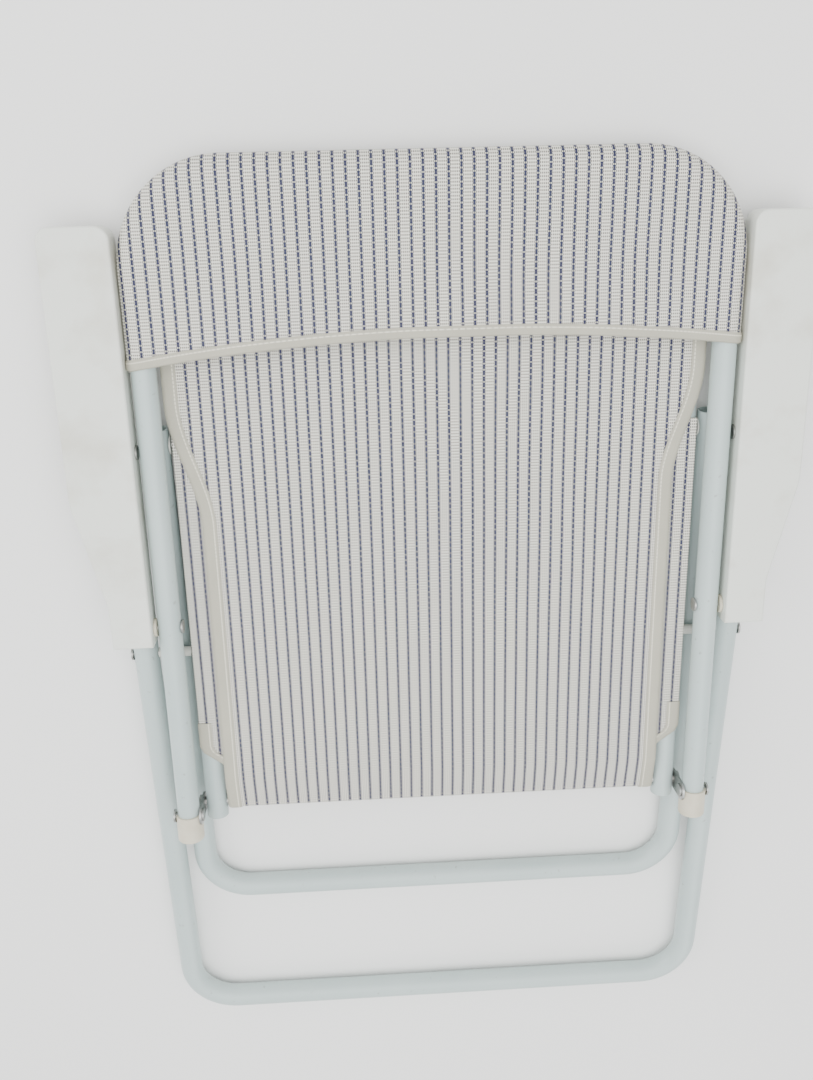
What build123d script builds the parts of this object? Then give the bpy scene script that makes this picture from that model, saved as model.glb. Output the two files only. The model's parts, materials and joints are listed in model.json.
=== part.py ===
"""Folding deck chair of steel tube with a woven sling and moulded arms, folded flat.

The chair is drawn folded, in its own plane: +X to the right hand of a sitter, +Y to the
head, +Z out of the rear of the backrest. Z is 0 on the axis of the backrest tube. At the end every
piece is laid down by one turn, so that the folded chair lies on the ground on its front leg and on
the front bar of its seat, and the origin is on the ground under the middle.
"""
from math import atan2, asin, cos, degrees, hypot, radians, sin
import os

from build123d import *

# Tubes
frame_tube_d = 20.0
leg_tube_d = 22.0
tube_wall = 1.2

# Backrest frame
back_half_width = 235.0
back_top_y = 148.0
back_bottom_y = -431.0
back_corner_r = 72.0

# Folding linkage: the arm pivots, and the rod that joins seat and backrest
arm_rear_pivot_y = -221.5
arm_front_pivot_y = -67.4
rod_y = -409.0
rod_drop = 22.5

# Seat frame
seat_depth = 406.0
seat_corner_r = 50.0
seat_tail = 14.0

# Legs
front_leg_reach = 617.0
front_leg_corner_r = 46.0
rear_leg_pivot_y = -66.3
rear_leg_reach = 470.0
rear_leg_fall = 5.1
rear_leg_corner_r = 44.0
rear_leg_stub = 14.0

# Hinge hardware
rod_d = 8.0
rod_overhang = 4.0
rivet_d = 6.0
rivet_head_d = 12.0
rivet_head_h = 1.6
plate_t = 2.0
plate_w = 18.0
plate_gap = 0.7
nut_d = 12.0
nut_t = 3.0
spacer_d = 9.0
washer_d = 16.0
running_fit = 0.05
side_gap = 0.3
head_clear = 0.1
rear_leg_gap = 1.8

# Plastic shoes on the ends of the backrest tube
shoe_wall = 2.0
shoe_length = 24.0
shoe_floor = 2.0
shoe_edge_r = 1.4
shoe_notch_gap = 0.2
shoe_head_clear = 0.02

# Arms
arm_wall = 2.4
arm_gap = 3.0
arm_width = 55.0
arm_tail_width = 34.0
arm_front_y = 110.0
arm_shoulder_y = -108.0
arm_neck_y = -196.0
arm_rear_y = -235.0
arm_top_z = 15.0
arm_skirt_z = -9.0
arm_rear_skirt_z = -5.0
arm_corner_r = 11.0
arm_edge_r = 2.0
arm_shoulder_r = 60.0
arm_neck_r = 30.0
arm_rib_length = 60.0
arm_rib_gap = 1.0
arm_leg_gap = 1.1
cut_past = 1.0

# Cloth
cloth_t = 1.6
cloth_gap = 0.4
pocket_bottom_y = 14.0
pocket_lap = 16.0
panel_side_gap = 3.0
panel_end_y = -411.0
panel_lift = 0.3
panel_shoulder_y = -45.0
panel_neck_y = -95.0
panel_foot_gap = 2.3
seat_cloth_t = 1.4
seat_cloth_inset = 2.0
seat_cloth_end = 6.0
seat_sleeve_gap = 0.2
seat_sleeve_end_gap = 4.0

# Sizes that follow from those above
tube_r = frame_tube_d / 2
leg_r = leg_tube_d / 2
rod_r = rod_d / 2
rivet_r = rivet_d / 2
hole_r = rivet_r + running_fit
rod_z = -rod_drop
seat_x = back_half_width - tube_r - plate_t - plate_gap - tube_r
plate_x = back_half_width - tube_r - plate_t - running_fit
leg_clear = leg_r + arm_wall + arm_leg_gap
arm_inner_x = back_half_width + tube_r + arm_gap
front_leg_x = arm_inner_x + leg_clear
rear_leg_x = seat_x + tube_r + rear_leg_gap + leg_r
link = arm_front_pivot_y - arm_rear_pivot_y
front_leg_pivot_y = rod_y + link
front_leg_fall = degrees(atan2(rod_drop, arm_front_pivot_y - front_leg_pivot_y))
seat_bar_y = rod_y + seat_depth
foot_y = arm_front_pivot_y - front_leg_reach * cos(radians(front_leg_fall))
foot_z = -front_leg_reach * sin(radians(front_leg_fall))
seat_sleeve_r = tube_r + seat_sleeve_gap + seat_cloth_t
seat_cloth_top = rod_z + seat_sleeve_r

pieces = []


def finish(piece, label):
    """Names a finished piece and keeps it for laying down and writing."""
    piece.label = label
    pieces.append(piece)


def cross_bar(x_from, x_to, y, z, radius):
    """A round bar along X, to add or to cut away as a hole."""
    with BuildPart() as made:
        with BuildSketch(Plane.YZ.offset(x_from)):
            with Locations((y, z)):
                Circle(radius)
        extrude(amount=x_to - x_from)
    return made.part


def bent_tube(plane, points, corner_r, diameter):
    """A tube bent to a U through the given points of a plane."""
    with BuildPart() as made:
        with BuildLine(plane) as route:
            FilletPolyline(*points, radius=corner_r)
        start = Plane(origin=route.line @ 0, z_dir=route.line % 0)
        with BuildSketch(start):
            Circle(diameter / 2)
            Circle(diameter / 2 - tube_wall, mode=Mode.SUBTRACT)
        sweep(path=route.line)
    return made.part


def rivet(side, x_from, x_to, y, z):
    """A rivet through plates and tubes between two X places, with a low head at each end."""
    with BuildPart() as made:
        add(cross_bar(side * x_from, side * x_to, y, z, rivet_r))
        add(cross_bar(side * (x_from - rivet_head_h), side * x_from, y, z, rivet_head_d / 2))
        add(cross_bar(side * x_to, side * (x_to + rivet_head_h), y, z, rivet_head_d / 2))
    return made.part


def ring(side, x_from, x_to, y, z, bore_r, outer_r):
    """A washer, bush or spacer around a pivot."""
    with BuildPart() as made:
        add(cross_bar(side * x_from, side * x_to, y, z, outer_r))
        add(cross_bar(side * x_from, side * x_to, y, z, bore_r), mode=Mode.SUBTRACT)
    return made.part


# Backrest frame: one tube bent to a U, open at the seat
with BuildPart() as backrest_frame:
    tube = bent_tube(
        Plane.XY,
        [
            (-back_half_width, back_bottom_y),
            (-back_half_width, back_top_y),
            (back_half_width, back_top_y),
            (back_half_width, back_bottom_y),
        ],
        back_corner_r,
        frame_tube_d,
    )
    add(tube)
    for side in (-1, 1):
        near = side * (back_half_width - frame_tube_d)
        far = side * (back_half_width + frame_tube_d)
        add(cross_bar(near, far, arm_rear_pivot_y, 0, hole_r), mode=Mode.SUBTRACT)
        add(cross_bar(near, far, rod_y, 0, hole_r), mode=Mode.SUBTRACT)
finish(backrest_frame.part, "backrest_frame")

# Seat frame: one tube bent to a U, with its closed end at the front of the seat
with BuildPart() as seat_frame:
    tube = bent_tube(
        Plane.XY.offset(rod_z),
        [
            (-seat_x, rod_y - seat_tail),
            (-seat_x, seat_bar_y),
            (seat_x, seat_bar_y),
            (seat_x, rod_y - seat_tail),
        ],
        seat_corner_r,
        frame_tube_d,
    )
    add(tube)
    for side in (-1, 1):
        near = side * (seat_x - frame_tube_d)
        far = side * (seat_x + frame_tube_d)
        add(cross_bar(near, far, rod_y, rod_z, rod_r + running_fit), mode=Mode.SUBTRACT)
        add(cross_bar(near, far, front_leg_pivot_y, rod_z, hole_r), mode=Mode.SUBTRACT)
        add(cross_bar(near, far, rear_leg_pivot_y, rod_z, hole_r), mode=Mode.SUBTRACT)
finish(seat_frame.part, "seat_frame")

# Front leg: a U from the two arms past the seat to the ground
front_leg_plane = Plane(
    origin=(0, arm_front_pivot_y, 0),
    x_dir=(1, 0, 0),
    z_dir=(0, -sin(radians(front_leg_fall)), cos(radians(front_leg_fall))),
)
with BuildPart() as front_leg_frame:
    tube = bent_tube(
        front_leg_plane,
        [
            (-front_leg_x, 0),
            (-front_leg_x, -front_leg_reach),
            (front_leg_x, -front_leg_reach),
            (front_leg_x, 0),
        ],
        front_leg_corner_r,
        leg_tube_d,
    )
    add(tube)
    for side in (-1, 1):
        near = side * (front_leg_x - leg_tube_d)
        far = side * (front_leg_x + leg_tube_d)
        add(cross_bar(near, far, arm_front_pivot_y, 0, hole_r), mode=Mode.SUBTRACT)
        add(cross_bar(near, far, front_leg_pivot_y, rod_z, hole_r), mode=Mode.SUBTRACT)
finish(front_leg_frame.part, "front_leg_frame")

# Rear leg: a shorter U, hung inside the front leg from the forward end of the seat
rear_leg_plane = Plane(
    origin=(0, rear_leg_pivot_y, rod_z),
    x_dir=(1, 0, 0),
    z_dir=(0, -sin(radians(rear_leg_fall)), cos(radians(rear_leg_fall))),
)
with BuildPart() as rear_leg_frame:
    tube = bent_tube(
        rear_leg_plane,
        [
            (-rear_leg_x, rear_leg_stub),
            (-rear_leg_x, -rear_leg_reach),
            (rear_leg_x, -rear_leg_reach),
            (rear_leg_x, rear_leg_stub),
        ],
        rear_leg_corner_r,
        leg_tube_d,
    )
    add(tube)
    for side in (-1, 1):
        near = side * (rear_leg_x - leg_tube_d)
        far = side * (rear_leg_x + leg_tube_d)
        add(cross_bar(near, far, rear_leg_pivot_y, rod_z, hole_r), mode=Mode.SUBTRACT)
finish(rear_leg_frame.part, "rear_leg_frame")

# Hinge rod: one steel rod across the back of the seat, which also carries the sling
rod_half = plate_x + plate_t + rod_overhang
with BuildPart() as hinge_rod:
    add(cross_bar(-rod_half, rod_half, rod_y, rod_z, rod_r))
finish(hinge_rod.part, "hinge_rod")

# Arm: a moulded channel, open below, with a rib beside the leg. The left one is its mirror image
arm_outer_x = arm_inner_x + arm_width
arm_tail_x = arm_inner_x + arm_tail_width
rib_x = front_leg_x + leg_r + arm_rib_gap
cavity_top_z = arm_top_z - arm_wall
with BuildPart() as armrest:
    with BuildSketch(Plane.XY.offset(arm_skirt_z)) as outline:
        with BuildLine():
            Polyline(
                (arm_inner_x, arm_rear_y),
                (arm_tail_x, arm_rear_y),
                (arm_tail_x, arm_neck_y),
                (arm_outer_x, arm_shoulder_y),
                (arm_outer_x, arm_front_y),
                (arm_inner_x, arm_front_y),
                close=True,
            )
        make_face()
        fillet(outline.vertices().group_by(Axis.Y)[-1], radius=arm_corner_r)
        fillet(outline.vertices().group_by(Axis.Y)[1], radius=arm_neck_r)
        shoulder = outline.vertices().sort_by_distance((arm_outer_x, arm_shoulder_y, arm_skirt_z))[0]
        fillet(shoulder, radius=arm_shoulder_r)
    extrude(amount=arm_top_z - arm_skirt_z)
    fillet(armrest.faces().sort_by(Axis.Z)[-1].edges(), radius=arm_edge_r)
    with BuildSketch(Plane.XY.offset(arm_skirt_z)):
        add(outline.sketch)
        offset(amount=-arm_wall, kind=Kind.INTERSECTION, mode=Mode.REPLACE)
    extrude(amount=cavity_top_z - arm_skirt_z, mode=Mode.SUBTRACT)
    with BuildSketch(Plane.YZ.offset(rib_x)):
        with Locations((arm_front_pivot_y, (cavity_top_z + arm_skirt_z) / 2)):
            Rectangle(arm_rib_length, cavity_top_z - arm_skirt_z)
    extrude(amount=arm_wall)
    with BuildSketch(Plane.XZ.offset(-arm_rear_y + cut_past)):
        with Locations(((arm_inner_x + arm_tail_x) / 2, arm_skirt_z)):
            Rectangle(arm_tail_width - 2 * arm_wall, 2 * (arm_rear_skirt_z - arm_skirt_z))
    extrude(amount=-(arm_wall + 2 * cut_past), mode=Mode.SUBTRACT)
    near = arm_inner_x - cut_past
    rear_far = arm_inner_x + arm_wall + cut_past
    front_far = rib_x + arm_wall + cut_past
    add(cross_bar(near, rear_far, arm_rear_pivot_y, 0, hole_r), mode=Mode.SUBTRACT)
    add(cross_bar(near, front_far, arm_front_pivot_y, 0, hole_r), mode=Mode.SUBTRACT)
finish(armrest.part, "armrest_right")
finish(armrest.part.mirror(Plane.YZ), "armrest_left")

for side, name in ((-1, "left"), (1, "right")):
    # Hinge plate: riveted inside the foot of the backrest tube, turns on the rod
    with BuildPart() as hinge_plate:
        with BuildSketch(Plane.YZ.offset(side * plate_x)):
            with Locations((rod_y, rod_z / 2)):
                SlotCenterToCenter(rod_drop, plate_w, rotation=90)
        extrude(amount=side * plate_t)
        near, far = side * plate_x, side * (plate_x + plate_t)
        add(cross_bar(near, far, rod_y, 0, hole_r), mode=Mode.SUBTRACT)
        add(cross_bar(near, far, rod_y, rod_z, rod_r + running_fit), mode=Mode.SUBTRACT)
    finish(hinge_plate.part, f"hinge_plate_{name}")

    # Shoe: a moulded cup over the open end of the backrest tube, notched for the plate
    with BuildPart() as end_shoe:
        shoe_r = tube_r + shoe_wall
        shoe_start = Plane(origin=(side * back_half_width, back_bottom_y - shoe_floor, 0), z_dir=(0, 1, 0))
        with BuildSketch(shoe_start):
            Circle(shoe_r)
        extrude(amount=shoe_length + shoe_floor)
        end_edges = end_shoe.edges().filter_by(GeomType.CIRCLE).group_by(Axis.Y)
        fillet(end_edges[0], radius=shoe_edge_r)
        with BuildSketch(shoe_start.offset(shoe_floor)):
            Circle(tube_r + running_fit)
        extrude(amount=shoe_length, mode=Mode.SUBTRACT)
        with BuildSketch(Plane.YZ.offset(side * (plate_x - cut_past))):
            with Locations((rod_y, rod_z / 2)):
                SlotCenterToCenter(rod_drop, plate_w + 2 * shoe_notch_gap, rotation=90)
        extrude(amount=side * (plate_t + cut_past + shoe_notch_gap), mode=Mode.SUBTRACT)
        far = side * (back_half_width + 2 * shoe_r)
        add(cross_bar(side * back_half_width, far, rod_y, 0, hole_r), mode=Mode.SUBTRACT)
    finish(end_shoe.part, f"end_shoe_{name}")

    # Shoe rivet: ties shoe, tube and plate together
    shoe_near = plate_x - shoe_head_clear
    shoe_far = back_half_width + shoe_r + shoe_head_clear
    shoe_rivet = rivet(side, shoe_near, shoe_far, rod_y, 0)
    finish(shoe_rivet, f"shoe_rivet_{name}")

    # Push nut: keeps the rod in the plate
    nut_x = plate_x + plate_t + side_gap
    push_nut = ring(side, nut_x, nut_x + nut_t, rod_y, rod_z, rod_r + running_fit, nut_d / 2)
    finish(push_nut, f"push_nut_{name}")

    # Front leg pivot: a long rivet from the seat tube to the leg, through a spacer
    seat_near = seat_x - tube_r - head_clear
    leg_far = front_leg_x + leg_r + head_clear
    leg_rivet = rivet(side, seat_near, leg_far, front_leg_pivot_y, rod_z)
    finish(leg_rivet, f"front_leg_rivet_{name}")
    leg_spacer = ring(
        side,
        seat_x + tube_r + side_gap,
        front_leg_x - leg_r - side_gap,
        front_leg_pivot_y,
        rod_z,
        hole_r,
        spacer_d / 2,
    )
    finish(leg_spacer, f"leg_spacer_{name}")

    # Rear leg pivot: a rivet through the seat tube and the leg, with a thin washer between
    rear_far = rear_leg_x + leg_r + head_clear
    rear_rivet = rivet(side, seat_near, rear_far, rear_leg_pivot_y, rod_z)
    finish(rear_rivet, f"rear_leg_rivet_{name}")
    rear_washer = ring(
        side,
        seat_x + tube_r + side_gap,
        rear_leg_x - leg_r - side_gap,
        rear_leg_pivot_y,
        rod_z,
        hole_r,
        washer_d / 2,
    )
    finish(rear_washer, f"rear_leg_washer_{name}")

    # Rear arm pivot: a rivet through the backrest tube and the inner wall of the arm, with a bush
    tube_near = back_half_width - tube_r - head_clear
    wall_far = arm_inner_x + arm_wall + head_clear
    arm_rivet = rivet(side, tube_near, wall_far, arm_rear_pivot_y, 0)
    finish(arm_rivet, f"arm_rivet_{name}")
    arm_bush = ring(
        side,
        back_half_width + tube_r + side_gap,
        arm_inner_x - side_gap,
        arm_rear_pivot_y,
        0,
        hole_r,
        washer_d / 2,
    )
    finish(arm_bush, f"arm_bush_{name}")

    # Front arm pivot: a rivet through the inner wall, the leg and the rib
    arm_near = arm_inner_x - head_clear
    rib_far = rib_x + arm_wall + head_clear
    arm_pin = rivet(side, arm_near, rib_far, arm_front_pivot_y, 0)
    finish(arm_pin, f"arm_pin_{name}")

# Back sling: a pocket over the head of the frame, and the panel from it to the rod, which narrows
# so that it passes between the seat tubes
pocket_x = back_half_width + tube_r + cloth_gap + cloth_t
pocket_z = tube_r + cloth_gap + cloth_t
pocket_top_y = back_top_y + tube_r + cloth_gap + cloth_t
with BuildPart() as back_sling:
    with BuildSketch(Plane.XY.offset(-pocket_z)) as pocket_plan:
        with Locations((0, (pocket_top_y + pocket_bottom_y) / 2)):
            Rectangle(2 * pocket_x, pocket_top_y - pocket_bottom_y)
        head_corners = pocket_plan.vertices().group_by(Axis.Y)[-1]
        fillet(head_corners, radius=back_corner_r + tube_r + cloth_gap + cloth_t)
    extrude(amount=2 * pocket_z)
    with BuildSketch(Plane.XY.offset(-pocket_z + cloth_t)) as hollow_plan:
        with Locations((0, (pocket_top_y - cloth_t + pocket_bottom_y) / 2)):
            Rectangle(2 * (pocket_x - cloth_t), pocket_top_y - cloth_t - pocket_bottom_y)
        hollow_corners = hollow_plan.vertices().group_by(Axis.Y)[-1]
        fillet(hollow_corners, radius=back_corner_r + tube_r + cloth_gap)
    extrude(amount=2 * (pocket_z - cloth_t), mode=Mode.SUBTRACT)
    panel_x = back_half_width - tube_r - panel_side_gap
    panel_z = seat_cloth_top + panel_lift
    panel_foot_x = seat_x - tube_r - panel_foot_gap
    with BuildSketch(Plane.XY.offset(panel_z)):
        with BuildLine():
            Polyline(
                (0, pocket_bottom_y + pocket_lap),
                (panel_x, pocket_bottom_y + pocket_lap),
                (panel_x, panel_shoulder_y),
                (panel_foot_x, panel_neck_y),
                (panel_foot_x, panel_end_y),
                (0, panel_end_y),
            )
            mirror(about=Plane.YZ)
        make_face()
    extrude(amount=cloth_t)
finish(back_sling.part, "back_sling")

# Seat sling: a sheet over the seat tubes with a sleeve round the front bar
sleeve_half = seat_x - seat_corner_r - seat_sleeve_end_gap
sheet_x = seat_x + tube_r - seat_cloth_inset
sheet_z = seat_cloth_top - seat_cloth_t
with BuildPart() as seat_sling:
    add(cross_bar(-sleeve_half, sleeve_half, seat_bar_y, rod_z, seat_sleeve_r))
    with BuildSketch(Plane.XY.offset(sheet_z)):
        with Locations((0, (seat_bar_y + rod_y + seat_cloth_end) / 2)):
            Rectangle(2 * sleeve_half, seat_bar_y - rod_y - seat_cloth_end)
        sheet_front_y = seat_bar_y - seat_corner_r
        with Locations((0, (sheet_front_y + rod_y + seat_cloth_end) / 2)):
            Rectangle(2 * sheet_x, sheet_front_y - rod_y - seat_cloth_end)
    extrude(amount=seat_cloth_t)
    bore = cross_bar(-sleeve_half, sleeve_half, seat_bar_y, rod_z, tube_r + seat_sleeve_gap)
    add(bore, mode=Mode.SUBTRACT)
finish(seat_sling.part, "seat_sling")

# Laying down: the front leg's foot and the sleeve of the seat touch the ground together
to_bar_y = seat_bar_y - foot_y
to_bar_z = rod_z - foot_z
lean = asin((seat_sleeve_r - leg_r) / hypot(to_bar_y, to_bar_z))
turn = degrees(lean - atan2(to_bar_z, to_bar_y))
turned = Location((0, 0, 0), (turn, 0, 0))
laid = [turned * piece for piece in pieces]
whole = Compound(laid).bounding_box()
drop = Location((0, -(whole.min.Y + whole.max.Y) / 2, -whole.min.Z))
print("turn about X", round(turn, 4), "shift", drop.position)

os.makedirs("parts", exist_ok=True)
for piece, source in zip(laid, pieces):
    placed = drop * piece
    placed.label = source.label
    export_step(placed, f"parts/{source.label}.step")
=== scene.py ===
"""Folding deck chair of painted steel tube with a woven sling, folded flat and laid on the floor.

The CAD frame gives every tube, arm, shoe and rivet. This script gives them their finishes and makes
the cloth: the pocket over the head, the back panel, the seat panel and the tapes sewn to their edges.
All lengths are in metres.
"""
import json
import math

import bpy
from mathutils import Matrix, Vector


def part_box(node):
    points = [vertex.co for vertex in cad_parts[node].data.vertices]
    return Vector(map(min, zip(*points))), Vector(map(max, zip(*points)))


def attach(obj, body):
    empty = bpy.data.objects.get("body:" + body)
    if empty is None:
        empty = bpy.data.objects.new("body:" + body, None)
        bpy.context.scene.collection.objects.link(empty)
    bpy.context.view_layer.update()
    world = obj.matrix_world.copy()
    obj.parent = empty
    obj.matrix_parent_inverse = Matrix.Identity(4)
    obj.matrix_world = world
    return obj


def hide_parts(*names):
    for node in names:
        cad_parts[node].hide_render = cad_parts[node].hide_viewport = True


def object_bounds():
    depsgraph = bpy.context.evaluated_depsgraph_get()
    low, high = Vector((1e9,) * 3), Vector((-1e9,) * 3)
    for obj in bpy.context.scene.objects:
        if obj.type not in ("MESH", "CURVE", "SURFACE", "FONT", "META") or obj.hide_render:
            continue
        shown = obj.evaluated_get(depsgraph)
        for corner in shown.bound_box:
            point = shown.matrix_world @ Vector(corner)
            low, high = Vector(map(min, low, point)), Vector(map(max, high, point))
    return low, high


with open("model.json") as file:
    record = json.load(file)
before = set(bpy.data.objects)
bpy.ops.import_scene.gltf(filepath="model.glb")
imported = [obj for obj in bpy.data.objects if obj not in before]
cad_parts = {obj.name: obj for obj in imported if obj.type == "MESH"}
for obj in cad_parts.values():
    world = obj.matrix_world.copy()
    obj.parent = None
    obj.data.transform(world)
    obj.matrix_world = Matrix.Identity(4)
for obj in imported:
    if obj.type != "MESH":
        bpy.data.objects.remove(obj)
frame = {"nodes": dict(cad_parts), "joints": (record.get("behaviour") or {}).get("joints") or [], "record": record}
cad_low, cad_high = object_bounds()

# ---------------------------------------------------------------------------------------------
# Camera: above the head of the chair, looking down and towards its feet, with the whole chair in
# the frame. The lens is that of a phone at arm's length.
# ---------------------------------------------------------------------------------------------
camera_place = Vector((-0.0666, 0.4383, 0.8393))
camera_turn = (-22.04, -3.21, -1.14)
camera = bpy.data.objects.new("camera", bpy.data.cameras.new("camera"))
bpy.context.scene.collection.objects.link(camera)
camera.location = camera_place
camera.rotation_euler = [math.radians(angle) for angle in camera_turn]
camera.data.sensor_width = 36
camera.data.lens = 33.51
bpy.context.scene.camera = camera

# ---------------------------------------------------------------------------------------------
# Floor and light: a plain pale studio floor, a large soft light over the chair and a weaker one
# from the left, so that the tubes show a long soft highlight.
# ---------------------------------------------------------------------------------------------


def colour(code):
    """A linear colour with alpha from an sRGB hex value."""
    shares = [int(code[i : i + 2], 16) / 255 for i in (1, 3, 5)]
    linear = [s / 12.92 if s <= 0.04045 else ((s + 0.055) / 1.055) ** 2.4 for s in shares]
    return (*linear, 1.0)


def add_node(material, kind, inputs=None, **settings):
    """Adds a node to a material, sets it, and links or sets its inputs."""
    made = material.node_tree.nodes.new(kind)
    for name, value in settings.items():
        setattr(made, name, value)
    for socket, value in (inputs or {}).items():
        if isinstance(value, bpy.types.NodeSocket):
            material.node_tree.links.new(value, made.inputs[socket])
        else:
            made.inputs[socket].default_value = value
    return made


def new_material(name, roughness, metallic=0.0, ior=None):
    """A material with one shader, and that shader."""
    made = bpy.data.materials.new(name)
    made.use_nodes = True
    shader = made.node_tree.nodes["Principled BSDF"]
    shader.inputs["Roughness"].default_value = roughness
    shader.inputs["Metallic"].default_value = metallic
    if ior:
        shader.inputs["IOR"].default_value = ior
    return made, shader


def join(material, output, shader, socket):
    """Links one output to one input of the shader."""
    material.node_tree.links.new(output, shader.inputs[socket])


# Matt painted floor: even and pale, with a faint cloudiness so that it isn't one flat value
floor_paint, shader = new_material("matt_floor_paint", roughness=0.9)
place = add_node(floor_paint, "ShaderNodeTexCoord").outputs["Object"]
cloud = add_node(floor_paint, "ShaderNodeTexNoise", {"Vector": place, "Scale": 1.5, "Detail": 2.0})
tone = add_node(
    floor_paint,
    "ShaderNodeMix",
    {"Factor": cloud.outputs["Fac"], "A": colour("#F3F3F1"), "B": colour("#EDEDEB")},
    data_type="RGBA",
)
join(floor_paint, tone.outputs["Result"], shader, "Base Color")

bpy.ops.object.select_all(action="DESELECT")
bpy.ops.mesh.primitive_plane_add(size=8, location=(0, 0, cad_low.z - 0.0005))
floor = bpy.context.object
floor.name = "floor"
floor.data.materials.append(floor_paint)

for name, spot, size, power in (
    ("top_light", Vector((0.15, 0.25, 2.2)), 2.4, 60),
    ("left_light", Vector((-1.8, 0.7, 1.2)), 1.4, 26),
    ("foot_light", Vector((0.6, -1.9, 1.3)), 1.4, 12),
):
    lamp = bpy.data.objects.new(name, bpy.data.lights.new(name, "AREA"))
    bpy.context.scene.collection.objects.link(lamp)
    lamp.data.size = size
    lamp.data.energy = power
    lamp.location = spot
    lamp.rotation_euler = (-spot).to_track_quat("-Z", "Y").to_euler()

world = bpy.data.worlds.new("studio")
bpy.context.scene.world = world
world.use_nodes = True
world.node_tree.nodes["Background"].inputs["Color"].default_value = colour("#F6F7F8")
world.node_tree.nodes["Background"].inputs["Strength"].default_value = 1.3

# ---------------------------------------------------------------------------------------------
# Tubes: backrest, seat and both legs are bent steel tube with a satin powder coat, a pale
# grey-green. Powder coat shows as a soft broad highlight with a fine orange peel.
# ---------------------------------------------------------------------------------------------
powder_coat, shader = new_material("satin_powder_coat", roughness=0.34, ior=1.5)
place = add_node(powder_coat, "ShaderNodeTexCoord").outputs["Object"]
patch = add_node(powder_coat, "ShaderNodeTexNoise", {"Vector": place, "Scale": 14.0, "Detail": 4.0})
coat = add_node(
    powder_coat,
    "ShaderNodeMix",
    {"Factor": patch.outputs["Fac"], "A": colour("#A9B9B7"), "B": colour("#B9C5C3")},
    data_type="RGBA",
)
# Handling leaves small grey rubs, about 2 mm across and far apart
rub = add_node(powder_coat, "ShaderNodeTexNoise", {"Vector": place, "Scale": 160.0, "Detail": 3.0})
rub_edge = add_node(
    powder_coat,
    "ShaderNodeMapRange",
    {"Value": rub.outputs["Fac"], "From Min": 0.68, "From Max": 0.76, "To Max": 0.6},
)
worn = add_node(
    powder_coat,
    "ShaderNodeMix",
    {"Factor": rub_edge.outputs["Result"], "A": coat.outputs["Result"], "B": colour("#8F9490")},
    data_type="RGBA",
)
join(powder_coat, worn.outputs["Result"], shader, "Base Color")
gloss = add_node(
    powder_coat,
    "ShaderNodeMapRange",
    {"Value": patch.outputs["Fac"], "To Min": 0.28, "To Max": 0.42},
)
join(powder_coat, gloss.outputs["Result"], shader, "Roughness")
peel = add_node(powder_coat, "ShaderNodeTexNoise", {"Vector": place, "Scale": 700.0, "Detail": 1.0})
peel_bump = add_node(
    powder_coat,
    "ShaderNodeBump",
    {"Height": peel.outputs["Fac"], "Strength": 0.12, "Distance": 0.0003},
)
join(powder_coat, peel_bump.outputs["Normal"], shader, "Normal")

# ---------------------------------------------------------------------------------------------
# Arms: moulded polypropylene, off-white, with a fine moulded grain that keeps them matt, and a
# little grey dirt where hands have been.
# ---------------------------------------------------------------------------------------------
grained_plastic, shader = new_material("grained_polypropylene", roughness=0.5, ior=1.49)
place = add_node(grained_plastic, "ShaderNodeTexCoord").outputs["Object"]
dirt = add_node(grained_plastic, "ShaderNodeTexNoise", {"Vector": place, "Scale": 22.0, "Detail": 6.0})
dirt_edge = add_node(
    grained_plastic,
    "ShaderNodeMapRange",
    {"Value": dirt.outputs["Fac"], "From Min": 0.5, "From Max": 0.8},
)
plastic = add_node(
    grained_plastic,
    "ShaderNodeMix",
    {"Factor": dirt_edge.outputs["Result"], "A": colour("#DDE0D8"), "B": colour("#C9C7B9")},
    data_type="RGBA",
)
join(grained_plastic, plastic.outputs["Result"], shader, "Base Color")
# Grain of about 0.6 mm, the moulded leather-like finish
grain = add_node(grained_plastic, "ShaderNodeTexVoronoi", {"Vector": place, "Scale": 1600.0})
grain_bump = add_node(
    grained_plastic,
    "ShaderNodeBump",
    {"Height": grain.outputs["Distance"], "Strength": 0.25, "Distance": 0.0002},
)
join(grained_plastic, grain_bump.outputs["Normal"], shader, "Normal")

# ---------------------------------------------------------------------------------------------
# Shoes, bushes, washers and spacers: small nylon mouldings. The shoes have yellowed to cream, the
# others are still pale. Nylon is smoother than the arms and slightly waxy.
# ---------------------------------------------------------------------------------------------
small_nylon = {}
for finish_name, clean, aged in (
    ("cream_nylon", "#D3CEBC", "#BDB59E"),
    ("pale_nylon", "#D9DAD4", "#C6C5BB"),
):
    nylon, shader = new_material(finish_name, roughness=0.42, ior=1.53)
    place = add_node(nylon, "ShaderNodeTexCoord").outputs["Object"]
    age = add_node(nylon, "ShaderNodeTexNoise", {"Vector": place, "Scale": 70.0, "Detail": 5.0})
    tone = add_node(
        nylon,
        "ShaderNodeMix",
        {"Factor": age.outputs["Fac"], "A": colour(clean), "B": colour(aged)},
        data_type="RGBA",
    )
    join(nylon, tone.outputs["Result"], shader, "Base Color")
    mark = add_node(nylon, "ShaderNodeTexNoise", {"Vector": place, "Scale": 900.0})
    mark_bump = add_node(
        nylon, "ShaderNodeBump", {"Height": mark.outputs["Fac"], "Strength": 0.1, "Distance": 0.0002}
    )
    join(nylon, mark_bump.outputs["Normal"], shader, "Normal")
    small_nylon[finish_name] = nylon

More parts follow.
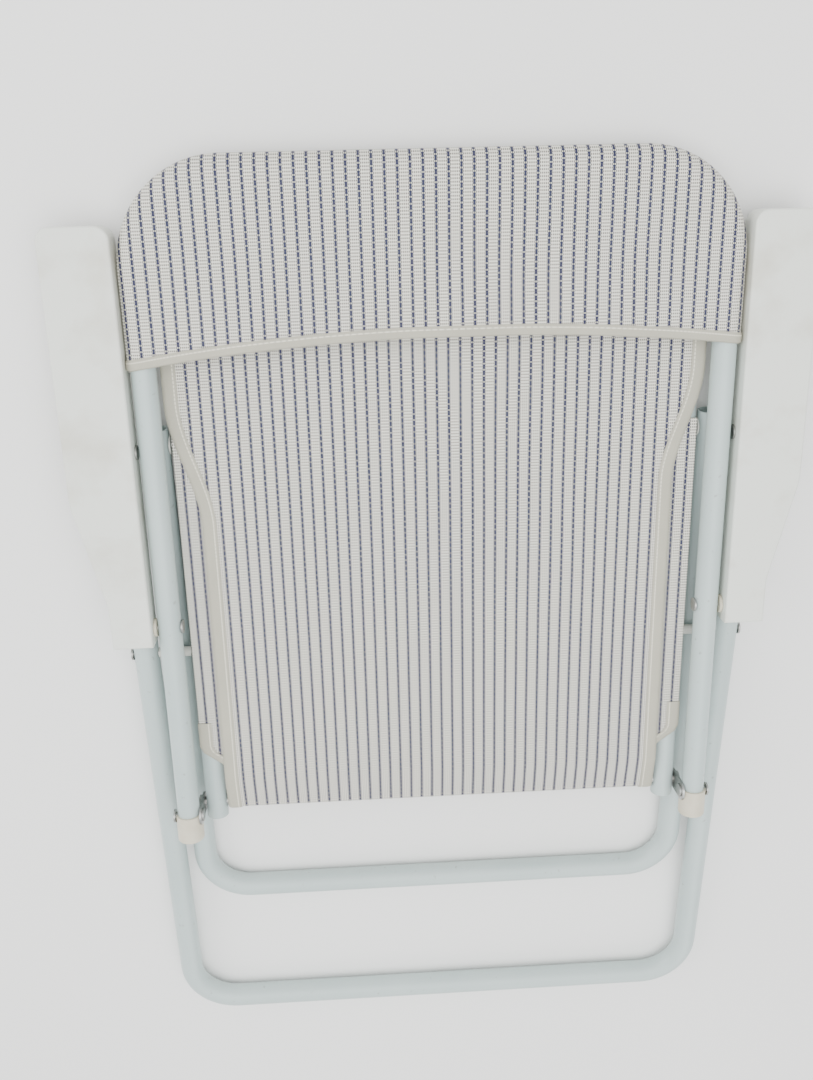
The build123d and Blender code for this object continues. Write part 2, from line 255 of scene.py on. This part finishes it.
# ---------------------------------------------------------------------------------------------
# Rod, rivets, plates and push nuts: zinc-plated steel. Zinc is a grey metal with a faint cloudy
# bloom, dulled in patches.
# ---------------------------------------------------------------------------------------------
zinc, shader = new_material("zinc_plated_steel", roughness=0.35, metallic=1.0)
place = add_node(zinc, "ShaderNodeTexCoord").outputs["Object"]
bloom = add_node(zinc, "ShaderNodeTexNoise", {"Vector": place, "Scale": 220.0, "Detail": 5.0})
plating = add_node(
    zinc,
    "ShaderNodeMix",
    {"Factor": bloom.outputs["Fac"], "A": colour("#B9BCBB"), "B": colour("#85827B")},
    data_type="RGBA",
)
join(zinc, plating.outputs["Result"], shader, "Base Color")
dull = add_node(
    zinc, "ShaderNodeMapRange", {"Value": bloom.outputs["Fac"], "To Min": 0.25, "To Max": 0.5}
)
join(zinc, dull.outputs["Result"], shader, "Roughness")

finish_of_slot = {
    "frame_paint": powder_coat,
    "arm_plastic": grained_plastic,
    "shoe_plastic": small_nylon["cream_nylon"],
    "spacer_plastic": small_nylon["pale_nylon"],
    "zinc_steel": zinc,
}
for part in frame["record"]["subparts"]:
    node = frame["nodes"][part["node"]]
    if part["material_slot"] in finish_of_slot:
        if not node.material_slots:
            node.data.materials.append(None)
        node.material_slots[0].material = finish_of_slot[part["material_slot"]]

# ---------------------------------------------------------------------------------------------
# Sling cloth: vinyl-coated polyester mesh, off-white, with rows of navy stitches along the chair.
# The threads cross about every 1.6 by 2.5 mm with a small open hole at each crossing, painted in as shade on
# solid cloth. The stitches repeat every 5 mm and have waisted sides, and neighbouring rows are shifted by half of
# that.
# ---------------------------------------------------------------------------------------------
row_pitch = 0.0097
stitch_pitch = 0.005
stitch_gap = 0.12
threads_per_row = 6
threads_per_stitch = 2

sling_cloth, shader = new_material("coated_polyester_mesh", roughness=0.62, ior=1.5)
cloth_map = add_node(sling_cloth, "ShaderNodeTexCoord").outputs["UV"]
ways = add_node(sling_cloth, "ShaderNodeSeparateXYZ", {"Vector": cloth_map})
rows_at = add_node(
    sling_cloth, "ShaderNodeMath", {0: ways.outputs["X"], 1: row_pitch}, operation="DIVIDE"
).outputs[0]
stitches_at = add_node(
    sling_cloth, "ShaderNodeMath", {0: ways.outputs["Y"], 1: stitch_pitch}, operation="DIVIDE"
).outputs[0]
row_number = add_node(sling_cloth, "ShaderNodeMath", {0: rows_at}, operation="ROUND").outputs[0]
shifted = add_node(
    sling_cloth,
    "ShaderNodeMath",
    {0: row_number, 1: 0.5, 2: stitches_at},
    operation="MULTIPLY_ADD",
).outputs[0]
from_row = add_node(
    sling_cloth, "ShaderNodeMath", {0: rows_at, 1: 0.5}, operation="PINGPONG"
).outputs[0]
from_gap = add_node(
    sling_cloth, "ShaderNodeMath", {0: shifted, 1: 0.5}, operation="PINGPONG"
).outputs[0]
# A stitch is about 2 mm wide at its waist and 3 mm at its ends
stitch_half = add_node(
    sling_cloth,
    "ShaderNodeMapRange",
    {
        "Value": from_gap,
        "From Min": stitch_gap,
        "From Max": 0.4,
        "To Min": 0.165,
        "To Max": 0.095,
    },
).outputs["Result"]
in_row = add_node(
    sling_cloth, "ShaderNodeMath", {0: from_row, 1: stitch_half}, operation="LESS_THAN"
).outputs[0]
in_length = add_node(
    sling_cloth, "ShaderNodeMath", {0: from_gap, 1: stitch_gap}, operation="GREATER_THAN"
).outputs[0]
stitch = add_node(
    sling_cloth, "ShaderNodeMath", {0: in_row, 1: in_length}, operation="MULTIPLY"
).outputs[0]
thread_waves = []
for position, count in ((rows_at, threads_per_row), (stitches_at, threads_per_stitch)):
    threads_at = add_node(
        sling_cloth, "ShaderNodeMath", {0: position, 1: float(count)}, operation="MULTIPLY"
    ).outputs[0]
    thread_waves.append(
        add_node(
            sling_cloth, "ShaderNodeMath", {0: threads_at, 1: 0.5}, operation="PINGPONG"
        ).outputs[0]
    )
from_hole = add_node(
    sling_cloth,
    "ShaderNodeMath",
    {0: thread_waves[0], 1: thread_waves[1]},
    operation="MAXIMUM",
).outputs[0]
# Painted shade: the open hole at each thread crossing is drawn on solid cloth, darkened as if seen into shade
painted_hole_shade = add_node(
    sling_cloth,
    "ShaderNodeMapRange",
    {"Value": from_hole, "From Min": 0.19, "From Max": 0.36, "To Min": 1.0, "To Max": 0.0},
).outputs["Result"]
place = add_node(sling_cloth, "ShaderNodeTexCoord").outputs["Object"]
fade = add_node(sling_cloth, "ShaderNodeTexNoise", {"Vector": place, "Scale": 9.0, "Detail": 4.0})
yarn = add_node(
    sling_cloth,
    "ShaderNodeMix",
    {"Factor": fade.outputs["Fac"], "A": colour("#E4E1D3"), "B": colour("#D9D7D0")},
    data_type="RGBA",
).outputs["Result"]
# The dark colour laid into the holes is painted shade, not the yarn's own colour
hole_shaded_cloth = add_node(
    sling_cloth,
    "ShaderNodeMix",
    {"Factor": painted_hole_shade, "A": yarn, "B": colour("#37332A")},
    data_type="RGBA",
).outputs["Result"]
woven = add_node(
    sling_cloth,
    "ShaderNodeMix",
    {"Factor": stitch, "A": hole_shaded_cloth, "B": colour("#10143C")},
    data_type="RGBA",
).outputs["Result"]
join(sling_cloth, woven, shader, "Base Color")
weave_bump = add_node(
    sling_cloth, "ShaderNodeBump", {"Height": from_hole, "Strength": 0.5, "Distance": 0.0006}
)
join(sling_cloth, weave_bump.outputs["Normal"], shader, "Normal")

# ---------------------------------------------------------------------------------------------
# Binding tape: a beige twill tape folded over the cloth's raw edges and sewn with one line of
# thread. The twill shows as fine slanted ribs, the thread as small pale dashes.
# ---------------------------------------------------------------------------------------------
rib_pitch = 0.0013
thread_pitch = 0.0034
thread_gap = 0.14
thread_in = 0.0025
thread_half = 0.0005

binding_tape, shader = new_material("twill_binding_tape", roughness=0.8, ior=1.5)
tape_map = add_node(binding_tape, "ShaderNodeTexCoord").outputs["UV"]
ways = add_node(binding_tape, "ShaderNodeSeparateXYZ", {"Vector": tape_map})
slant = add_node(
    binding_tape,
    "ShaderNodeMath",
    {0: ways.outputs["X"], 1: ways.outputs["Y"]},
    operation="ADD",
).outputs[0]
ribs_at = add_node(
    binding_tape, "ShaderNodeMath", {0: slant, 1: rib_pitch}, operation="DIVIDE"
).outputs[0]
rib = add_node(
    binding_tape, "ShaderNodeMath", {0: ribs_at, 1: 0.5}, operation="PINGPONG"
).outputs[0]
rib_shade = add_node(
    binding_tape, "ShaderNodeMath", {0: rib, 1: 2.0}, operation="MULTIPLY"
).outputs[0]
place = add_node(binding_tape, "ShaderNodeTexCoord").outputs["Object"]
soil = add_node(binding_tape, "ShaderNodeTexNoise", {"Vector": place, "Scale": 30.0, "Detail": 5.0})
clean_tape = add_node(
    binding_tape,
    "ShaderNodeMix",
    {"Factor": soil.outputs["Fac"], "A": colour("#CBC8B6"), "B": colour("#B4B1A2")},
    data_type="RGBA",
).outputs["Result"]
ribbed = add_node(
    binding_tape,
    "ShaderNodeMix",
    {"Factor": rib_shade, "A": colour("#9A9788"), "B": clean_tape},
    data_type="RGBA",
).outputs["Result"]
# The thread runs 2.5 mm in from the tape's inner edge, where the map's X is 0
thread_off = add_node(
    binding_tape,
    "ShaderNodeMath",
    {0: ways.outputs["X"], 1: thread_in, 2: thread_half},
    operation="COMPARE",
).outputs[0]
dashes_at = add_node(
    binding_tape, "ShaderNodeMath", {0: ways.outputs["Y"], 1: thread_pitch}, operation="DIVIDE"
).outputs[0]
dash = add_node(
    binding_tape, "ShaderNodeMath", {0: dashes_at, 1: 0.5}, operation="PINGPONG"
).outputs[0]
dash_on = add_node(
    binding_tape, "ShaderNodeMath", {0: dash, 1: thread_gap}, operation="GREATER_THAN"
).outputs[0]
thread = add_node(
    binding_tape, "ShaderNodeMath", {0: thread_off, 1: dash_on}, operation="MULTIPLY"
).outputs[0]
sewn = add_node(
    binding_tape,
    "ShaderNodeMix",
    {"Factor": thread, "A": ribbed, "B": colour("#DEDBCB")},
    data_type="RGBA",
).outputs["Result"]
join(binding_tape, sewn, shader, "Base Color")
rib_bump = add_node(
    binding_tape, "ShaderNodeBump", {"Height": rib_shade, "Strength": 0.4, "Distance": 0.0004}
)
join(binding_tape, rib_bump.outputs["Normal"], shader, "Normal")

# ---------------------------------------------------------------------------------------------
# The chair's own plane: the folded chair leans a little on its front leg, so the cloth is drawn
# flat, along the chair and out of its rear, and then laid on that lean. The pivots give the lean.
# ---------------------------------------------------------------------------------------------
pivot = {joint["name"]: Vector(joint["pos_m"]) for joint in frame["joints"]}
across = Vector((1, 0, 0))
along = (pivot["front_leg_fold"] - pivot["backrest_fold"]).normalized()
outward = across.cross(along)
arm_pivot_y = -0.2215
middle = pivot["arm_left_fold"] - along * arm_pivot_y
rod_y = (pivot["backrest_fold"] - middle).dot(along)
rod_z = (pivot["backrest_fold"] - middle).dot(outward)
tube_r = 0.010
pocket_t = 0.0014
panel_t = 0.0009
tape_t = 0.0004
merge_within = 0.00002


def lay(name, columns, rows, point, thickness, closed=False):
    """A cloth grid whose point(i, j) gives each vertex's x, y, z and its place on the flat cloth."""
    bpy.ops.object.select_all(action="DESELECT")
    bpy.ops.mesh.primitive_grid_add(x_subdivisions=columns, y_subdivisions=rows, size=1)
    made = bpy.context.object
    made.name = made.data.name = name
    flat_places = []
    for vertex in made.data.vertices:
        column = round((vertex.co.x + 0.5) * columns)
        row = round((vertex.co.y + 0.5) * rows)
        (x, y, z), flat_place = point(column, row)
        vertex.co = middle + across * x + along * y + outward * z
        flat_places.append(flat_place)
    flat_map = made.data.uv_layers.active.data
    for loop in made.data.loops:
        flat_map[loop.index].uv = flat_places[loop.vertex_index]
    if closed:
        bpy.ops.object.mode_set(mode="EDIT")
        bpy.ops.mesh.select_all(action="SELECT")
        bpy.ops.mesh.remove_doubles(threshold=merge_within)
        bpy.ops.object.mode_set(mode="OBJECT")
    wall = made.modifiers.new("thickness", "SOLIDIFY")
    wall.thickness = thickness
    wall.offset = -1 if closed else 0
    bpy.ops.object.modifier_apply(modifier=wall.name)
    bpy.ops.object.shade_smooth_by_angle(angle=math.radians(50))
    return made


def smooth(share):
    """Eases from 0 to 1 while share goes from 0 to 1."""
    share = min(1.0, max(0.0, share))
    return share * share * (3 - 2 * share)


# ---------------------------------------------------------------------------------------------
# Back pocket: two layers of sling cloth sewn along the sides and over the head, pulled down over
# the bend of the backrest tube. Its hem rides up in the middle, where no tube holds it down.
# ---------------------------------------------------------------------------------------------
pocket_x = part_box("back_sling")[1].x
pocket_over_tube = 0.002
pocket_r = tube_r + pocket_over_tube
pocket_top = 0.160
head_r = 0.084
hem_middle_y = 0.0205
hem_drop = 0.017
hem_peak_x = 0.025
hem_reach = 0.25
hem_steepness = 2.2
pocket_slack = 0.0028
pocket_ripple = 0.0009
pocket_lift = 0.0016
loose_from, loose_over = 0.02, 0.09
slack_from, slack_over = 0.03, 0.06
lift_to, lift_over = 0.06, 0.05
pocket_columns = 72
pocket_rows = 96


def hem_y(x):
    """How high the hem lies at a place across the pocket."""
    return hem_middle_y - hem_drop * (abs(x - hem_peak_x) / hem_reach) ** hem_steepness


def pocket_half(x, y):
    """Half the pocket's thickness: round where it turns over the tube, slack between the tubes."""
    from_edge = min(pocket_x - abs(x), pocket_top - y)
    corner_x, corner_y = pocket_x - head_r, pocket_top - head_r
    if abs(x) > corner_x and y > corner_y:
        from_edge = head_r - math.hypot(abs(x) - corner_x, y - corner_y)
    turn = min(1.0, max(0.0, from_edge / pocket_r))
    half = pocket_r * math.sqrt(1 - (1 - turn) ** 2)
    inside = smooth((from_edge - loose_from) / loose_over)
    slack = pocket_slack * inside * smooth((y - slack_from) / slack_over)
    # Two crossing ripples, about 120 and 70 mm long, so that they don't repeat evenly
    waves = math.sin(x * 47 + y * 21) + 0.6 * math.sin(x * 83 - y * 39 + 1.3)
    ripple = pocket_ripple * inside * waves
    lift = pocket_lift * inside * smooth((lift_to - y) / lift_over)
    return half - slack + ripple + lift


def pocket_point(column, row):
    """A point of the pocket, from its rear hem over the head to its other hem."""
    x = pocket_x * math.sin(math.pi * (column / pocket_columns - 0.5))
    share = math.sin(math.pi * row / pocket_rows)
    corner_x = pocket_x - head_r
    top = pocket_top
    if abs(x) > corner_x:
        top += math.sqrt(max(0.0, head_r**2 - (abs(x) - corner_x) ** 2)) - head_r
    low = hem_y(x)
    y = low + (top - low) * share
    face = 1 if row <= pocket_rows / 2 else -1
    if row * 2 == pocket_rows:
        z = 0.0
    else:
        z = face * pocket_half(x, y)
    run = y if face > 0 else 2 * pocket_top - y
    return (x, y, z), (x, run)


back_pocket = lay("back_pocket", pocket_columns, pocket_rows, pocket_point, pocket_t, closed=True)
back_pocket.data.materials.append(sling_cloth)

# Pocket hem: binding tape folded over the pocket's open edge, all the way round
hem_width = 0.0078
# Across the tape: its place from the inner edge, how far it stands off the cloth, and how high
hem_profile = (
    (0.0, 0.0006, hem_width),
    (0.0025, 0.0009, hem_width * 0.68),
    (0.0050, 0.0009, hem_width * 0.34),
    (0.0075, 0.0007, 0.0),
    (0.0085, -0.0007, -0.0009),
    (0.0095, -0.0020, 0.0),
    (0.0170, -0.0020, hem_width),
)
hem_columns = 2 * pocket_columns
hem_step = 0.0068


def hem_point(column, row):
    """A point of the hem tape: its column goes round the opening, its row over the fold."""
    angle = math.pi * (2 * column / hem_columns - 0.5)
    tape_x, offset, rise = hem_profile[row]
    x = pocket_x * math.sin(angle)
    face = 1 if math.cos(angle) >= 0 else -1
    y = hem_y(x) + rise
    half = max(0.0, pocket_half(x, max(y, hem_y(x))))
    turn = max(0.0, abs(x) - (pocket_x - pocket_r)) / pocket_r
    lean = math.asin(min(1.0, turn))
    x_out = math.copysign(math.sin(lean), x) * offset
    z_out = face * math.cos(lean) * offset
    return (x + x_out, y, face * half + z_out), (tape_x, column * hem_step)


pocket_hem = lay("pocket_hem", hem_columns, len(hem_profile) - 1, hem_point, tape_t)
pocket_hem.data.materials.append(binding_tape)

# ---------------------------------------------------------------------------------------------
# Back panel: one layer of sling cloth from inside the pocket down to the hinge rod, where it turns
# round the rod and is sewn to itself. Below the shoulders it is cut in to pass between the seat
# tubes.
# ---------------------------------------------------------------------------------------------
rod_r = 0.004
flat_pitch = 0.006
slope_steps = 6
wrap_steps = 20


def rod_route(y_top, y_slope, z_flat, wrap_r, wrap_end):
    """Points along the chair, in y and z, that run flat, slope to the rod and wrap round it."""
    rise_y, rise_z = y_slope - rod_y, z_flat - rod_z
    touch = math.atan2(rise_z, rise_y) + math.acos(wrap_r / math.hypot(rise_y, rise_z))
    route = []
    flat_steps = round((y_top - y_slope) / flat_pitch)
    for step in range(flat_steps):
        route.append((y_top + (y_slope - y_top) * step / flat_steps, z_flat))
    touch_y = rod_y + wrap_r * math.cos(touch)
    touch_z = rod_z + wrap_r * math.sin(touch)
    for step in range(slope_steps):
        share = step / slope_steps
        route.append((y_slope + (touch_y - y_slope) * share, z_flat + (touch_z - z_flat) * share))
    for step in range(wrap_steps + 1):
        angle = touch + (wrap_end - touch) * step / wrap_steps
        route.append((rod_y + wrap_r * math.cos(angle), rod_z + wrap_r * math.sin(angle)))
    return route


def runs_of(route):
    """The length of cloth from the route's start to each of its points."""
    runs = [0.0]
    for before, after in zip(route, route[1:]):
        runs.append(runs[-1] + math.dist(before, after))
    return runs


def normals_of(route):
    """The outward direction, in y and z, at each point of a route."""
    found = []
    for index in range(len(route)):
        before, after = route[max(0, index - 1)], route[min(len(route) - 1, index + 1)]
        run_y, run_z = after[0] - before[0], after[1] - before[1]
        length = math.hypot(run_y, run_z)
        found.append((run_z / length, -run_y / length))
    return found


back_flat_z = -0.0098
back_top_y = 0.030
back_slope_y = rod_y + 0.029
back_wrap_r = rod_r + 0.0021
back_wrap_end = math.radians(385)
back_route = rod_route(back_top_y, back_slope_y, back_flat_z, back_wrap_r, back_wrap_end)
back_runs = runs_of(back_route)
back_normals = normals_of(back_route)
back_shoulder_x = 0.2225
back_foot_x = 0.2
back_shoulder_ends = {"left": (-0.135, -0.030), "right": (-0.110, -0.012)}
back_columns = 80
back_wave_h = 0.0012


def back_edge(side, y):
    """Half the back panel's width: full under the pocket, cut in below the shoulder."""
    low, high = back_shoulder_ends["left" if side < 0 else "right"]
    return back_foot_x + (back_shoulder_x - back_foot_x) * smooth((y - low) / (high - low))


def back_wave(x, y, run):
    """Slack in the panel: low broad waves that die out at the rod and at the sides."""
    inside = smooth((0.19 - abs(x)) / 0.12) * smooth((0.36 - run) / 0.15)
    return back_wave_h * inside * (1 + math.sin(x * 38 + y * 17) * math.cos(y * 26 - x * 9))


def back_point(column, row):
    """A point of the back panel."""
    y, z = back_route[row]
    share = 2 * column / back_columns - 1
    x = share * back_edge(share, y)
    lift = back_wave(x, y, back_runs[row])
    normal_y, normal_z = back_normals[row]
    return (x, y + normal_y * lift, z + normal_z * lift), (x, -back_runs[row])


back_panel = lay("back_panel", back_columns, len(back_route) - 1, back_point, panel_t)
back_panel.data.materials.append(sling_cloth)

# Back panel pipings: binding tape folded over both long edges of the panel. Across the tape: its
# place from the inner edge, how far in from the panel's edge, and how far off the panel
tape_profile = (
    (0.0, 0.0110, 0.0010),
    (0.0025, 0.0085, 0.0014),
    (0.0055, 0.0055, 0.0014),
    (0.0085, 0.0020, 0.0014),
    (0.0110, -0.0004, 0.0009),
    (0.0118, -0.0010, 0.0),
    (0.0126, -0.0004, -0.0008),
    (0.0240, 0.0110, -0.0008),
)


def tape_on(name, side, route, edge, rows_from, rows_to):
    """Binding tape along one edge of a panel, from one row of its route to another."""
    runs, normals = runs_of(route), normals_of(route)

    def tape_point(column, row):
        tape_x, inset, offset = tape_profile[column]
        y, z = route[rows_from + row]
        normal_y, normal_z = normals[rows_from + row]
        x = side * (edge(side, y) - inset)
        run = runs[rows_from + row]
        return (x, y + normal_y * offset, z + normal_z * offset), (tape_x, run)

    made = lay(name, len(tape_profile) - 1, rows_to - rows_from, tape_point, tape_t)
    made.data.materials.append(binding_tape)
    return made


back_pipings = []
for side, side_name in ((-1, "left"), (1, "right")):
    piping = tape_on(
        f"panel_piping_{side_name}", side, back_route, back_edge, 0, len(back_route) - 1
    )
    back_pipings.append(piping)

# ---------------------------------------------------------------------------------------------
# Seat panel: sling cloth from the hinge rod over the seat tubes to a sleeve round the front bar.
# It is cut in at the rod, and again at the front, where the sleeve stops short of the bends.
# ---------------------------------------------------------------------------------------------
seat_half_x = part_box("seat_sling")[1].x
seat_bar_y = rod_y + 0.406
seat_flat_z = rod_z + 0.0109
sleeve_r = seat_flat_z - rod_z
sleeve_x = 0.158
seat_foot_x = 0.1985
seat_front_cut = 0.046
seat_front_cut_over = 0.008
seat_rear_cut = 0.040
seat_rear_cut_over = 0.022
seat_slope_y = rod_y + 0.039
seat_wrap_r = rod_r + 0.0008
seat_wrap_end = math.radians(400)
seat_columns = 72

sleeve_steps = 22
sleeve_end = math.radians(-165)
sleeve_route = []
for step in range(sleeve_steps):
    angle = sleeve_end + (math.pi / 2 - sleeve_end) * step / sleeve_steps
    sleeve_route.append(
        (seat_bar_y + sleeve_r * math.cos(angle), rod_z + sleeve_r * math.sin(angle))
    )
seat_route = sleeve_route + rod_route(
    seat_bar_y, seat_slope_y, seat_flat_z, seat_wrap_r, seat_wrap_end
)
seat_runs = runs_of(seat_route)


def seat_edge(side, y):
    """Half the seat panel's width: the sleeve, the full seat, and the cut at the rod."""
    front = smooth((seat_bar_y - seat_front_cut - y) / seat_front_cut_over)
    rear = smooth((y - rod_y - seat_rear_cut) / seat_rear_cut_over)
    return sleeve_x + (seat_half_x - sleeve_x) * front - (seat_half_x - seat_foot_x) * (1 - rear)


def seat_point(column, row):
    """A point of the seat panel."""
    y, z = seat_route[row]
    share = 2 * column / seat_columns - 1
    x = share * seat_edge(share, y)
    return (x, y, z), (x, -seat_runs[row])


seat_panel = lay("seat_panel", seat_columns, len(seat_route) - 1, seat_point, panel_t)
seat_panel.data.materials.append(sling_cloth)

# Seat pipings: the same tape on the slanting cuts at the rod
seat_piping_y = rod_y + 0.09
sheet_rows = range(sleeve_steps, len(seat_route))
first_row = next(row for row in sheet_rows if seat_route[row][0] < seat_piping_y)
last_row = len(seat_route) - wrap_steps
seat_pipings = []
for side, side_name in ((-1, "left"), (1, "right")):
    piping = tape_on(
        f"seat_piping_{side_name}", side, seat_route, seat_edge, first_row, last_row
    )
    seat_pipings.append(piping)

# ---------------------------------------------------------------------------------------------
# What each cloth piece rides on; the CAD slings that the cloth stands for are hidden
# ---------------------------------------------------------------------------------------------
for piece in (back_pocket, pocket_hem, back_panel, *back_pipings):
    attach(piece, "backrest")
for piece in (seat_panel, *seat_pipings):
    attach(piece, "seat")
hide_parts("back_sling")
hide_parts("back_sling")
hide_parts("seat_sling")
